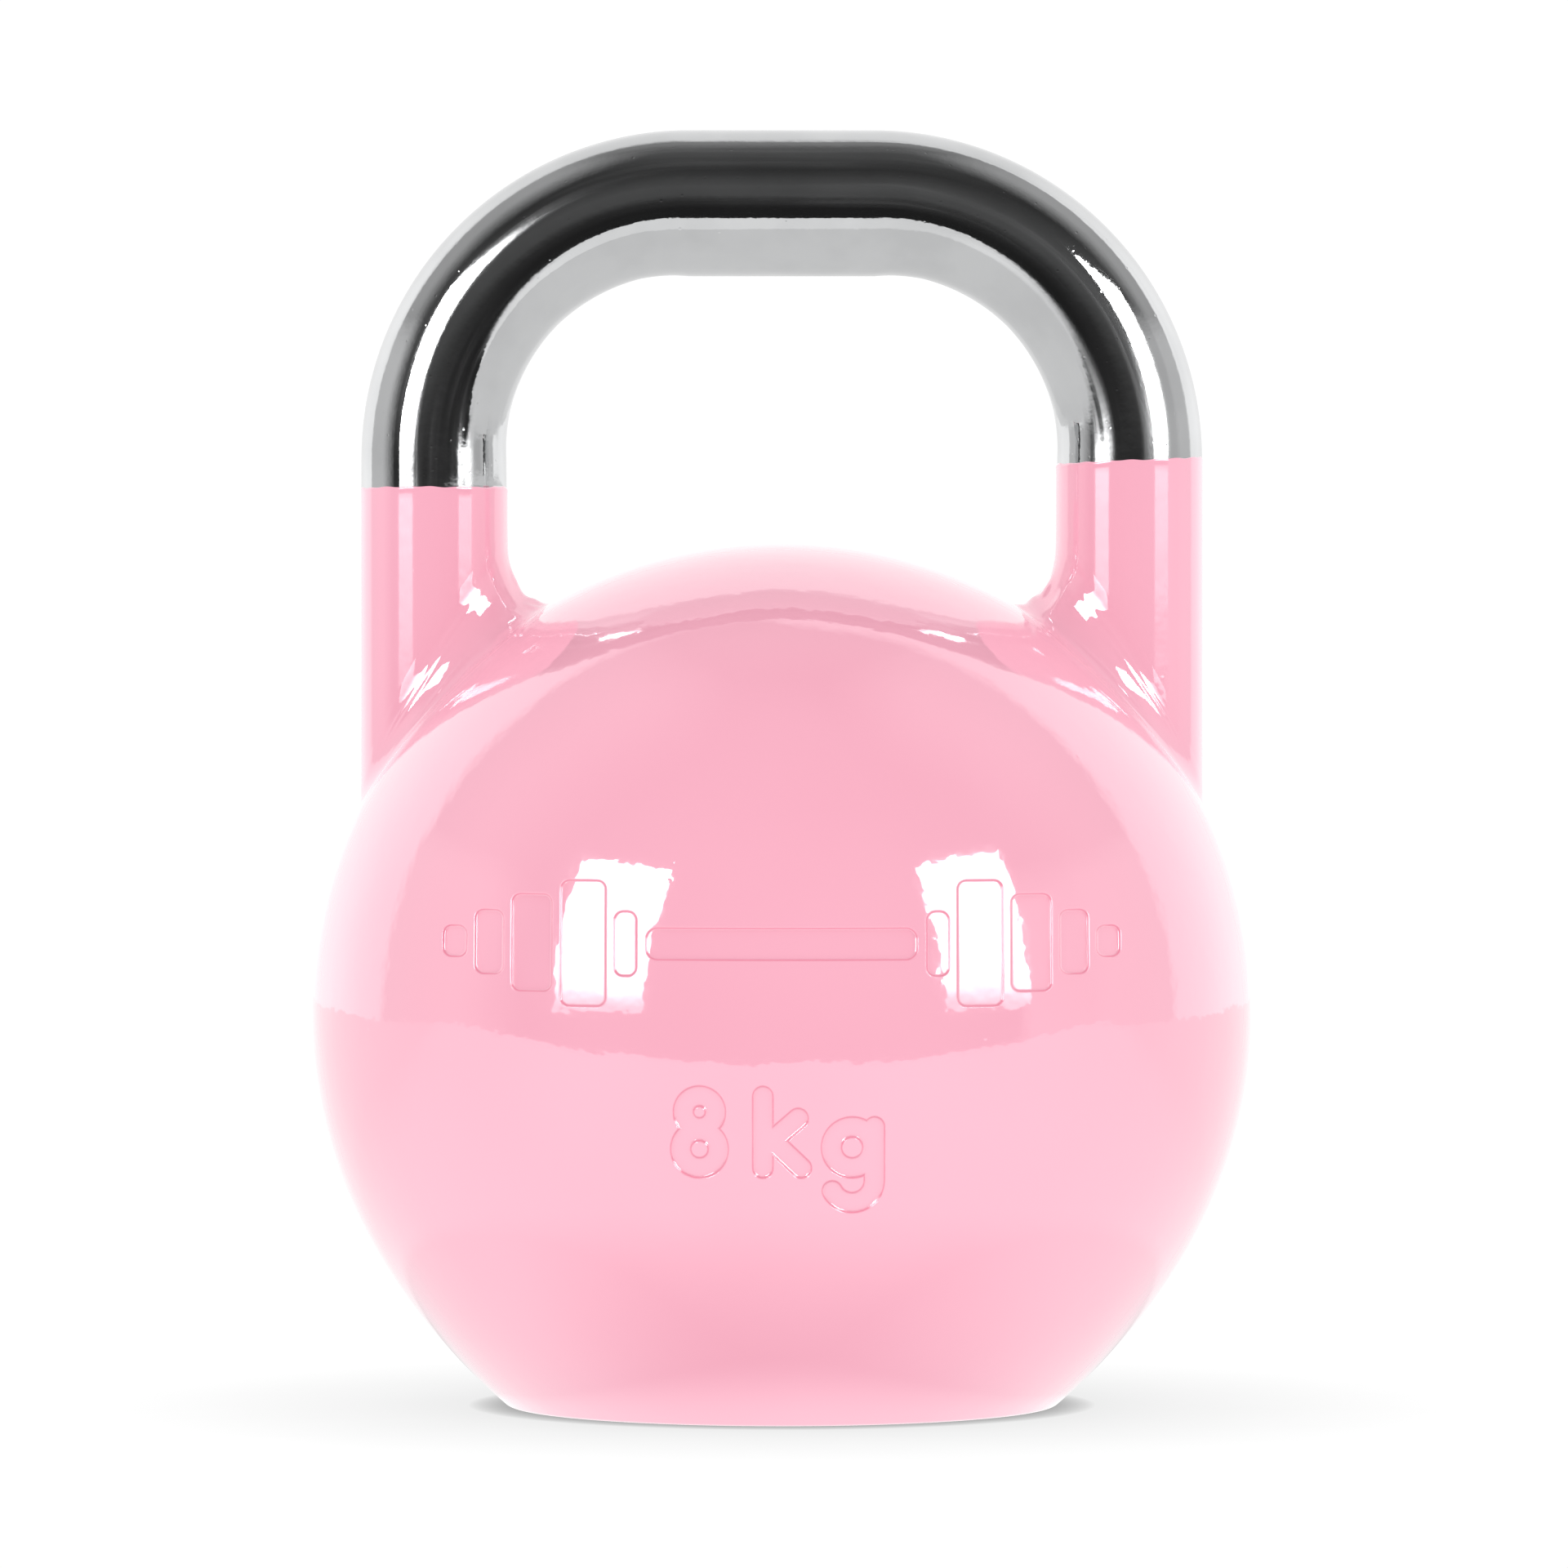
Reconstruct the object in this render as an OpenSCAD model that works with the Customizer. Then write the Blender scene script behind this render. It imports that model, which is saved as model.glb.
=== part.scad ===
// Steel kettlebell with a ball of constant size and a chromed tube handle.
// The ball is two pressed half shells, butt welded at the equator. The handle
// legs pass through the upper shell and are fillet welded to it. A plate with
// a fill plug closes the flat base.
// Origin: centre of the flat base. +Z is up and the grip runs along X.

/* [Ball] */
// Outside diameter of the ball
ball_d = 210; // [208:1:216]
// Thickness of the pressed half shells
shell_wall = 4.5; // [4:0.25:5]
// Diameter of the flat base, measured to its sharp corner
base_d = 122.5; // [112:0.5:126]
// Angle below the equator where the ball turns into the fuller heel
heel_angle = 30; // [25:1:35]
// How much larger the heel's arc radius is than the ball's
heel_extra_r = 30; // [20:1:40]
// Rounding of the base's outer corner
base_edge_r = 2.5; // [1.5:0.5:4]

/* [Handle] */
// Outside diameter of the handle tube
handle_d = 33; // [30:0.5:35]
// Wall of the handle tube
handle_wall = 5; // [3:0.5:7]
// Width over the two legs
handle_w = 188.5; // [184:0.5:190]
// Centreline radius of the two bends
bend_r = 57; // [50:1:62]
// Clear height between the top of the ball and the grip
window_h = 59.5; // [55:0.5:70]
// How far each leg reaches past the inside of the shell
leg_stub = 6; // [4:1:8]

/* [Welds] */
// Radius of the fillet weld round each leg
leg_weld_r = 8; // [6:0.5:11]
// Width of the girth weld on the outside
seam_w = 7; // [5:0.5:9]
// Depth of the groove weld round the base plate
base_weld_depth = 4; // [3:0.5:5]
// Width of that groove at the floor plane
base_weld_w = 5; // [3:0.5:6]

/* [Base and filling] */
// Thickness of the base plate
plate_t = 10; // [9:0.5:12]
// Height of the set ballast above the base plate
ballast_h = 11.3; // [8:0.1:20]
// Diameter of the threaded fill hole
fill_d = 20; // [16:1:24]

/* [Hidden] */
$fn = 240;

// Derived heights are kept to a tenth of a millimetre
function tenths(v) = round(10 * v) / 10;

ball_r = ball_d / 2;
heel_r = ball_r + heel_extra_r;
heel_x = -heel_extra_r * cos(heel_angle);
heel_rise = heel_extra_r * sin(heel_angle);
// The ball's centre stands as high as makes the heel arc meet the floor at base_d
ball_z = tenths(sqrt(pow(heel_r, 2) - pow(base_d / 2 - heel_x, 2)) - heel_rise);
heel_z = ball_z + heel_rise;

handle_r = handle_d / 2;
leg_x = (handle_w - handle_d) / 2;
grip_half = leg_x - bend_r;
grip_z = ball_z + ball_r + window_h + handle_r;
bend_z = grip_z - bend_r;
inner_r = ball_r - shell_wall;
leg_end_z = tenths(ball_z + sqrt(pow(inner_r, 2) - pow(leg_x + handle_r, 2)) - leg_stub);

// Gap left between pieces that are slid together before welding
fit_gap = 0.1;
leg_hole_r = handle_r + 2 * fit_gap;

// Seam: the root faces stand seam_root apart and the groove opens to seam_w
seam_root = 1.5;
ring_half = 8;
ring_t = 3;
ring_r = tenths(sqrt(inner_r * inner_r - ring_half * ring_half)) - fit_gap;

// Plug: a flanged screw with a hexagon socket, sunk below the floor plane
plug_sink = 0.5;
flange_r = fill_d / 2 + 3;
flange_t = 3;
seal_t = 1.5;
seal_squeeze_gap = 0.2;
counterbore_z = plug_sink + flange_t + seal_t;
plug_tip_z = plate_t + 2;
socket_across = fill_d / 2;
socket_depth = 6;
ballast_well_r = fill_d / 2 + 5;

// Edge distance that makes every cut pass clean through
over = 1;

WELD_STEPS = 72;
ARC_STEPS = 6;
TOE_STEPS = 3;

pink = [0.97, 0.68, 0.76];
steel = [0.62, 0.63, 0.65];
weld_grey = [0.50, 0.50, 0.52];

// Rectangle of the right half plane between two heights
module band(z_low, z_high) {
    translate([0, z_low]) square([2 * ball_r, z_high - z_low]);
}

// Half outline of the ball, moved inwards by inset: the ball's own arc above,
// the fuller heel arc below, cut at the floor
module outline(inset) {
    turn_z = ball_z - (ball_r - inset) * sin(heel_angle);
    intersection() {
        translate([0, ball_z]) circle(r = ball_r - inset);
        band(turn_z, ball_z + ball_r + over);
    }
    intersection() {
        translate([heel_x, heel_z]) circle(r = heel_r - inset);
        band(0, turn_z);
    }
}

// What the rounded base corner leaves out of the sharp outline
module corner_waste() {
    centre_x = heel_x + sqrt(pow(heel_r - base_edge_r, 2) - pow(heel_z - base_edge_r, 2));
    reach = heel_r / (heel_r - base_edge_r);
    touch_x = heel_x + (centre_x - heel_x) * reach;
    touch_z = heel_z + (base_edge_r - heel_z) * reach;
    difference() {
        polygon([[centre_x, -over], [base_d, -over], [base_d, touch_z + base_d - touch_x],
                 [touch_x, touch_z], [centre_x, base_edge_r]]);
        translate([centre_x, base_edge_r]) circle(r = base_edge_r);
    }
}

// The shell's section, floor to crown
module shell_section() {
    difference() {
        outline(0);
        outline(shell_wall);
        corner_waste();
    }
}

// The V of the girth weld's groove, lying on its side with its root on the ring
module seam_groove() {
    polygon([[ring_r, -seam_root / 2], [inner_r, -seam_root / 2],
             [ball_r + over, -seam_w / 2], [ball_r + over, seam_w / 2],
             [inner_r, seam_root / 2], [ring_r, seam_root / 2]]);
}

// Inside radius of the heel at height z
function seat_r(z) = heel_x + sqrt(pow(heel_r - shell_wall, 2) - pow(heel_z - z, 2));

// The base plate's section before its hole, chamfered for the groove weld
module plate_section() {
    chamfer_r = seat_r(0) - base_weld_w;
    difference() {
        intersection() {
            outline(shell_wall + fit_gap);
            band(0, plate_t);
        }
        polygon([[chamfer_r, -over], [base_d, -over], [base_d, base_weld_depth],
                 [seat_r(base_weld_depth) + over, base_weld_depth], [chamfer_r, 0]]);
    }
}

// A round rod along the handle's centreline, from leg end to leg end
module handle_rod(r, end_z) {
    translate([-grip_half, 0, grip_z]) rotate([0, 90, 0]) cylinder(r = r, h = 2 * grip_half);
    for (side = [0, 1]) mirror([side, 0, 0]) {
        translate([grip_half, 0, bend_z]) rotate([90, 0, 0])
            rotate_extrude(angle = 90) translate([bend_r, 0]) circle(r = r);
        translate([leg_x, 0, end_z]) cylinder(r = r, h = bend_z - end_z);
    }
}

// Fillet weld between a leg and the ball, as a ball of leg_weld_r rolls round
// the leg. At each angle a the section is the fillet's hollow arc, the ball's
// surface under it and the leg's surface behind it.
function unit(v) = v / norm(v);
function roll_centre(a) =
    let (x = leg_x + (handle_r + leg_weld_r) * cos(a), y = (handle_r + leg_weld_r) * sin(a))
    [x, y, sqrt(pow(ball_r + leg_weld_r, 2) - x * x - y * y)];
function root_point(a) =
    let (x = leg_x + handle_r * cos(a), y = handle_r * sin(a))
    [x, y, sqrt(ball_r * ball_r - x * x - y * y)];
function weld_section(a) =
    let (c = roll_centre(a), to_leg = [-cos(a), -sin(a), 0], to_ball = -unit(c),
         toe = c + leg_weld_r * to_ball, root = root_point(a))
    concat([for (i = [0:ARC_STEPS]) let (t = i / ARC_STEPS)
                c + leg_weld_r * unit((1 - t) * to_leg + t * to_ball)],
           [for (i = [1:TOE_STEPS]) let (t = i / TOE_STEPS)
                ball_r * unit((1 - t) * toe + t * root)]);
module leg_weld() {
    count = ARC_STEPS + 1 + TOE_STEPS;
    points = [for (k = [0:WELD_STEPS - 1]) each weld_section(360 * k / WELD_STEPS)];
    faces = [for (k = [0:WELD_STEPS - 1]) let (next = (k + 1) % WELD_STEPS)
             for (i = [0:count - 1]) let (j = (i + 1) % count)
             each [[k * count + i, next * count + j, next * count + i],
                   [k * count + i, k * count + j, next * count + j]]];
    translate([0, 0, ball_z]) polyhedron(points, faces);
}

module handle_tube() {
    color("gainsboro") difference() {
        handle_rod(handle_r, leg_end_z);
        handle_rod(handle_r - handle_wall, leg_end_z - over);
    }
}

module upper_shell() {
    color(pink) difference() {
        rotate_extrude() difference() {
            intersection() {
                shell_section();
                band(ball_z, ball_z + ball_r + over);
            }
            translate([0, ball_z]) seam_groove();
        }
        for (side = [-1, 1]) translate([side * leg_x, 0, ball_z]) cylinder(r = leg_hole_r, h = ball_r);
    }
}

module lower_shell() {
    color(pink) rotate_extrude() difference() {
        intersection() {
            shell_section();
            band(0, ball_z);
        }
        translate([0, ball_z]) seam_groove();
    }
}

module seam_weld() {
    color(weld_grey) rotate_extrude() intersection() {
        outline(0);
        translate([0, ball_z]) seam_groove();
    }
}

module backing_ring() {
    color(steel) translate([0, 0, ball_z - ring_half]) difference() {
        cylinder(r = ring_r, h = 2 * ring_half);
        translate([0, 0, -over]) cylinder(r = ring_r - ring_t, h = 2 * (ring_half + over));
    }
}

module left_leg_weld() {
    color(pink) mirror([1, 0, 0]) leg_weld();
}

module right_leg_weld() {
    color(pink) leg_weld();
}

module base_plate() {
    color(pink) difference() {
        rotate_extrude() plate_section();
        translate([0, 0, -over]) cylinder(r = fill_d / 2, h = plate_t + 2 * over);
        translate([0, 0, -over]) cylinder(r = flange_r + fit_gap, h = counterbore_z + over);
    }
}

module base_weld() {
    color(weld_grey) rotate_extrude() difference() {
        intersection() {
            outline(shell_wall);
            band(0, base_weld_depth);
        }
        plate_section();
    }
}

module ballast() {
    color("dimgray") rotate_extrude() difference() {
        intersection() {
            outline(shell_wall + fit_gap);
            band(plate_t, plate_t + ballast_h);
        }
        square([ballast_well_r, plate_t + ballast_h + over]);
    }
}

module fill_plug() {
    color(steel) difference() {
        union() {
            translate([0, 0, plug_sink]) cylinder(r = flange_r, h = flange_t);
            translate([0, 0, plug_sink]) cylinder(r = fill_d / 2 - fit_gap, h = plug_tip_z - plug_sink);
        }
        cylinder(d = socket_across / cos(30), h = plug_sink + socket_depth, $fn = 6);
    }
}

module plug_seal() {
    color("black") translate([0, 0, plug_sink + flange_t]) difference() {
        cylinder(r = flange_r - seal_squeeze_gap, h = seal_t);
        translate([0, 0, -over]) cylinder(r = fill_d / 2, h = seal_t + 2 * over);
    }
}

handle_tube();
upper_shell();
lower_shell();
seam_weld();
backing_ring();
left_leg_weld();
right_leg_weld();
base_plate();
base_weld();
ballast();
fill_plug();
plug_seal();
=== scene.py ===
"""A competition kettlebell: painted hollow ball, bent chromed handle, filled and plugged base."""

import math

import bmesh
import bpy
import numpy as np
from mathutils import Matrix, Vector


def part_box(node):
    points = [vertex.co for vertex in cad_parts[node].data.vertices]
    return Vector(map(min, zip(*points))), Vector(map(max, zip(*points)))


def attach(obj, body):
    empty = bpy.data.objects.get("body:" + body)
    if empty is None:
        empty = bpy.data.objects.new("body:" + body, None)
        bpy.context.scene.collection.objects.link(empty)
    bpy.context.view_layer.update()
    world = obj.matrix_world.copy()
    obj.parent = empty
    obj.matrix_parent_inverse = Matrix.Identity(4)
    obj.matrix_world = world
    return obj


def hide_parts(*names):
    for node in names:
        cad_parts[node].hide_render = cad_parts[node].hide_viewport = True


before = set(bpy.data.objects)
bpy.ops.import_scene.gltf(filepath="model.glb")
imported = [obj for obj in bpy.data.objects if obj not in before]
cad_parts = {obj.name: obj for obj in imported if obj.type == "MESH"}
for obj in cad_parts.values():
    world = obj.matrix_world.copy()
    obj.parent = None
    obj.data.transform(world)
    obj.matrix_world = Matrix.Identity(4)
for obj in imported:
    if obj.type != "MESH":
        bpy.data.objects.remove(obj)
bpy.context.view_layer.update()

MM = 0.001
# Points nearer the axis than this lie on it
ON_AXIS = 1e-9


# ---------------- sizes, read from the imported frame
def to_tenth(value):
    """A length in metres, kept to a tenth of a millimetre as in the CAD source."""
    return round(value, 4)


BOX = {name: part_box(name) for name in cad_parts}
BALL_Z = to_tenth((BOX["upper_shell"][0].z + BOX["lower_shell"][1].z) / 2)
BALL_R = to_tenth(BOX["upper_shell"][1].z - BALL_Z)
CENTRE = np.array([0.0, 0.0, BALL_Z])
TUBE_LOW, TUBE_HIGH = BOX["handle_tube"]
TUBE_R = to_tenth((TUBE_HIGH.y - TUBE_LOW.y) / 2)
LEG_X = to_tenth(TUBE_HIGH.x - TUBE_R)
GRIP_Z = to_tenth(TUBE_HIGH.z - TUBE_R)
LEG_END_Z = to_tenth(TUBE_LOW.z)
SEAM_HALF = BOX["seam_weld"][1].z - BALL_Z
RING_LOW, RING_HIGH = BOX["backing_ring"]
RING_R = to_tenth(RING_HIGH.y)
RING_HALF = (RING_HIGH.z - RING_LOW.z) / 2
PLATE_T = to_tenth(BOX["base_plate"][1].z)
FLANGE_R = to_tenth(BOX["fill_plug"][1].y)
PLUG_SINK = to_tenth(BOX["fill_plug"][0].z)
PLUG_TOP = to_tenth(BOX["fill_plug"][1].z)
SEAL_R = BOX["plug_seal"][1].y
BALLAST_TOP = to_tenth(BOX["ballast"][1].z)

# Sizes of the CAD model that no box gives
SHELL_WALL = 4.5 * MM
HEEL_ANGLE = math.radians(30)
HEEL_EXTRA = 30 * MM
BASE_EDGE_R = 2.5 * MM
SEAM_ROOT_HALF = 0.75 * MM
BEND_R = 57 * MM
TUBE_WALL = 5 * MM
LEG_HOLE_R = TUBE_R + 0.2 * MM
FIT_GAP = 0.1 * MM
RING_T = 3 * MM
FILL_R = 10 * MM
FLANGE_T = 3 * MM
SEAL_T = 1.5 * MM
BALLAST_WELL_R = 15 * MM
WELD_DEPTH = 4 * MM
WELD_FLOOR_W = 5 * MM
SOCKET_R = 5 * MM / math.cos(math.radians(30))
SOCKET_DEPTH = 6 * MM

SHELL_INNER_R = BALL_R - SHELL_WALL
HEEL_R = BALL_R + HEEL_EXTRA
HEEL_X = -HEEL_EXTRA * math.cos(HEEL_ANGLE)
HEEL_Z = BALL_Z + HEEL_EXTRA * math.sin(HEEL_ANGLE)
HEEL_START_Z = BALL_Z - BALL_R * math.sin(HEEL_ANGLE)
BEND_Z = GRIP_Z - BEND_R
GRIP_HALF = LEG_X - BEND_R

# Paint and plating
PAINT_T = 0.15 * MM
CHROME_R = TUBE_R - PAINT_T


# ---------------- mesh helpers
def object_from(name, verts, faces):
    """A new mesh object in the scene, its faces turned outwards."""
    mesh = bpy.data.meshes.new(name)
    mesh.from_pydata([tuple(v) for v in verts], [], faces)
    bm = bmesh.new()
    bm.from_mesh(mesh)
    bmesh.ops.recalc_face_normals(bm, faces=bm.faces)
    bm.to_mesh(mesh)
    bm.free()
    obj = bpy.data.objects.new(name, mesh)
    bpy.context.scene.collection.objects.link(obj)
    return obj


# Edges sharper than this stay crisp, and the same on rough pieces
SHARP_ANGLE = 35
ROUGH_ANGLE = 60


def smooth(obj, sharp_angle=SHARP_ANGLE):
    """Smooth shading, with edges sharper than the angle left crisp."""
    obj.data.shade_smooth()
    obj.data.set_sharp_from_angle(angle=math.radians(sharp_angle))
    return obj


def strip_faces(rows, columns, closed=True):
    """Quads over rows of vertices; each row is a ring, and if closed the last row joins the first."""
    faces = []
    for i in range(rows if closed else rows - 1):
        for j in range(columns):
            i2, j2 = (i + 1) % rows, (j + 1) % columns
            faces.append((i * columns + j, i * columns + j2, i2 * columns + j2, i2 * columns + j))
    return faces


def unit(vectors):
    """Vectors of length one."""
    return vectors / np.linalg.norm(vectors, axis=-1, keepdims=True)


def angles_round(steps):
    """Evenly spaced angles once round a circle."""
    return np.arange(steps) * 2 * math.pi / steps


def arc(centre, radius, start, end, steps):
    """Points on an arc in a plane; angles in radians from the first axis towards the second."""
    return [(centre[0] + radius * math.cos(a), centre[1] + radius * math.sin(a))
            for a in np.linspace(start, end, steps + 1)]


def softened(corners, radius, steps=4):
    """A closed outline with each corner rounded, apart from those on the axis."""
    points = []
    for k, corner in enumerate(corners):
        here = np.array(corner)
        before = np.array(corners[k - 1]) - here
        after = np.array(corners[(k + 1) % len(corners)]) - here
        if here[0] < ON_AXIS:
            points.append(tuple(here))
            continue
        room = min(radius, 0.45 * np.linalg.norm(before), 0.45 * np.linalg.norm(after))
        p = here + room * before / np.linalg.norm(before)
        q = here + room * after / np.linalg.norm(after)
        for t in np.linspace(0, 1, steps + 1):
            points.append(tuple((1 - t) ** 2 * p + 2 * t * (1 - t) * here + t * t * q))
    return points


def revolved(name, outline, steps=192):
    """A solid of revolution from a closed (r, z) outline. Points on the axis become single vertices."""
    angles = angles_round(steps)
    ring = np.stack([np.cos(angles), np.sin(angles)], axis=1)
    verts, rows = [], []
    for r, z in outline:
        if r < ON_AXIS:
            rows.append([len(verts)] * steps)
            verts.append((0, 0, z))
        else:
            rows.append(list(range(len(verts), len(verts) + steps)))
            verts.extend((r * c, r * s, z) for c, s in ring)
    faces = []
    for k, row in enumerate(rows):
        upper = rows[(k + 1) % len(rows)]
        if row[0] == row[-1] and upper[0] == upper[-1]:
            continue
        for j in range(steps):
            j2 = (j + 1) % steps
            corners = [row[j], row[j2], upper[j2], upper[j]]
            faces.append(tuple(dict.fromkeys(corners)))
    return object_from(name, verts, faces)


def boolean(obj, tool, operation):
    """Cuts, joins or intersects obj with tool, which is then removed."""
    step = obj.modifiers.new("step", "BOOLEAN")
    step.operation = operation
    step.solver = "EXACT"
    step.object = tool
    graph = bpy.context.evaluated_depsgraph_get()
    mesh = bpy.data.meshes.new_from_object(obj.evaluated_get(graph))
    obj.modifiers.clear()
    obj.data = mesh
    bpy.data.objects.remove(tool)


def finished(obj, material, slot, *stands_for):
    """Gives a piece its material and ties it to the frame. The slot argument is not used."""
    obj.data.materials.clear()
    obj.data.materials.append(material)
    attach(obj, "root")
    if stands_for:
        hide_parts(*stands_for)


# ---------------- the ball's outer surface
BALL_STEPS = 360
# A face whose corners are this near to a surface follows it
ON_SURFACE = 0.02 * MM


def base_edge_centre():
    """Centre of the base's rounded outer corner in the (r, z) half plane."""
    reach, drop = HEEL_R - BASE_EDGE_R, HEEL_Z - BASE_EDGE_R
    return HEEL_X + math.sqrt(reach ** 2 - drop ** 2), BASE_EDGE_R


def outer_normals(points):
    """Outward normals of the ball's skin: its own arc above, the heel arc and its rounded edge below."""
    z = points[:, 2]
    r = np.hypot(points[:, 0], points[:, 1])
    edge_r, edge_z = base_edge_centre()
    low = z < HEEL_START_Z
    edge = (r > edge_r) & ((HEEL_Z - z) * (edge_r - HEEL_X) > (HEEL_Z - edge_z) * (r - HEEL_X))
    centre_r = np.where(edge, edge_r, HEEL_X)
    centre_z = np.where(edge, edge_z, HEEL_Z)
    radial = np.where(low | edge, r - centre_r, r)
    rise = np.where(low | edge, z - centre_z, z - BALL_Z)
    spin = points[:, :2] / np.maximum(r, ON_AXIS)[:, None]
    return unit(np.column_stack([spin * radial[:, None], rise]))


def skin_depth(points):
    """How far points lie below the ball's skin."""
    to_ball = BALL_R - np.linalg.norm(points - CENTRE, axis=1)
    r = np.hypot(points[:, 0], points[:, 1])
    to_heel = HEEL_R - np.hypot(r - HEEL_X, points[:, 2] - HEEL_Z)
    return np.where(points[:, 2] < HEEL_START_Z, to_heel, to_ball)


def vertex_points(mesh):
    """The mesh's vertices as rows of x, y, z."""
    points = np.empty(len(mesh.vertices) * 3)
    mesh.vertices.foreach_get("co", points)
    return points.reshape(-1, 3)


def give_true_normals(obj, depths):
    """Faces that follow the skin at one of the depths get its exact normals; the rest keep theirs."""
    mesh = obj.data
    points = vertex_points(mesh)
    depth = skin_depth(points)
    loops = np.empty(len(mesh.loops), dtype=int)
    mesh.loops.foreach_get("vertex_index", loops)
    starts = np.empty(len(mesh.polygons), dtype=int)
    mesh.polygons.foreach_get("loop_start", starts)
    counts = np.diff(np.append(starts, len(loops)))
    normals = np.empty(len(mesh.loops) * 3)
    mesh.corner_normals.foreach_get("vector", normals)
    normals = normals.reshape(-1, 3)
    true = outer_normals(points)[loops]
    for level in depths:
        off = np.abs(depth[loops] - level)
        on_skin = np.maximum.reduceat(off, starts) < ON_SURFACE
        chosen = np.repeat(on_skin, counts)
        normals[chosen] = true[chosen]
    mesh.normals_split_custom_set(normals)


def paint_edge_shade(obj):
    """Stores how squarely each point lies on a mark's sloping edge, where the pink is painted darker as
    painted shade.
    """
    points = vertex_points(obj.data)
    share = skin_depth(points) / MARK_DEPTH
    on_edge = (share > 0.02) & (share < 0.98) & (points[:, 2] > HEEL_START_Z)
    shade_share = np.where(on_edge, 1 - (2 * share - 1) ** 2, 0.0)
    obj.data.attributes.new("edge_shade", "FLOAT", "POINT").data.foreach_set("value", shade_share)


# ---------------- marks sunk into the ball
MARK_DEPTH = 0.7 * MM
MARK_EDGE_W = 0.7 * MM
# The sloping edge from the mark's floor up to the skin: share of the depth, share of the edge's width
EDGE_STEPS = ((-0.1, -0.1), (0.0, 0.0), (0.06, 0.14), (0.2, 0.28), (0.5, 0.5), (0.8, 0.72),
              (0.94, 0.86), (1.0, 1.0), (1.2, 1.15))
CUTTER_INNER_Y = -30 * MM
CUTTER_OUTER_Y = -125 * MM
RING_POINTS = 96
RING_TURN = 2 * math.pi * (RING_POINTS - 1) / RING_POINTS
POINT_SPACING = 1.5 * MM

BARBELL_Z = BALL_Z + 18 * MM
BAR_SIZE = (57 * MM, 6 * MM)
BAR_CORNER = 2 * MM
# Distance of each plate from the middle, its width and its height, in mm
PLATES = ((33.3, 4, 13), (42.4, 9, 26), (53.5, 8, 20), (62.8, 5.5, 13), (70.4, 4.5, 6))
PLATE_CORNER = 1.5 * MM

FIGURE_TOP = 75.5 * MM
FIGURE_FOOT = 56.5 * MM
STROKE_HALF = 1.8 * MM
EIGHT_X = -17.5 * MM
EIGHT_SMALL_R = 3.4 * MM
EIGHT_LARGE_R = 4.0 * MM
K_X = -4 * MM
G_X = 15 * MM
G_BOWL_R = 4.4 * MM
# Cutters that are joined must not share a plane or a tangent, so they are kept this far apart
END_PLANE_STEP = 0.3 * MM
OFF_TANGENT = 0.35 * MM


def sloping_rings(outline_at, nudge):
    """Rings of points from inside the ball to outside it, sloping between the mark's floor and the skin.
    outline_at(grow) gives the mark's (x, z) outline; nudge keeps joined cutters' end planes apart."""
    rings = []
    for level, share in EDGE_STEPS:
        flat = np.array(outline_at(share * MARK_EDGE_W))
        rise = flat[:, 1] - BALL_Z
        reach = BALL_R + MARK_DEPTH * (level - 1)
        front = -np.sqrt(reach ** 2 - flat[:, 0] ** 2 - rise ** 2)
        rings.append(np.column_stack([flat[:, 0], front, flat[:, 1]]))
    inner, outer = rings[0].copy(), rings[-1].copy()
    inner[:, 1] = CUTTER_INNER_Y + nudge
    outer[:, 1] = CUTTER_OUTER_Y - nudge
    return [inner, *rings, outer]


def mark_cutter(outline_at, nudge=0.0):
    """A cutter with one outline."""
    rings = sloping_rings(outline_at, nudge)
    count = len(rings[0])
    faces = strip_faces(len(rings), count, closed=False)
    faces.append(tuple(range(count)))
    last = (len(rings) - 1) * count
    faces.append(tuple(range(last, last + count)))
    return object_from("cutter", np.concatenate(rings), faces)


def ring_cutter(x, z, radius, nudge=0.0):
    """A cutter for a round ring, one stroke wide."""
    def outer_at(grow):
        return arc((x, z), radius + STROKE_HALF + grow, 0, RING_TURN, RING_POINTS - 1)

    def inner_at(grow):
        return arc((x, z), radius - STROKE_HALF - grow, 0, RING_TURN, RING_POINTS - 1)

    rows = sloping_rings(outer_at, nudge) + sloping_rings(inner_at, nudge)[::-1]
    return object_from("cutter", np.concatenate(rows), strip_faces(len(rows), RING_POINTS))


def filled_in(corners):
    """A closed outline with extra points along its long sides."""
    points = []
    for k, corner in enumerate(corners):
        here, after = np.array(corner), np.array(corners[(k + 1) % len(corners)])
        count = max(1, math.ceil(np.linalg.norm(after - here) / POINT_SPACING))
        points += [tuple(here + (after - here) * t / count) for t in range(count)]
    return points


def rounded_bar(x, z, width, height, corner):
    """Outline maker for a bar with rounded corners."""
    def outline_at(grow):
        half_w, half_h = width / 2 - corner, height / 2 - corner
        points = []
        for quarter, (sx, sz) in enumerate([(1, 1), (-1, 1), (-1, -1), (1, -1)]):
            start = quarter * math.pi / 2
            points += arc((x + sx * half_w, z + sz * half_h), corner, start, start + math.pi / 2, 6)
        points = np.array(filled_in(points))
        nearest = np.clip(points, (x - half_w, z - half_h), (x + half_w, z + half_h))
        return points + grow * unit(points - nearest)
    return outline_at


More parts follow.
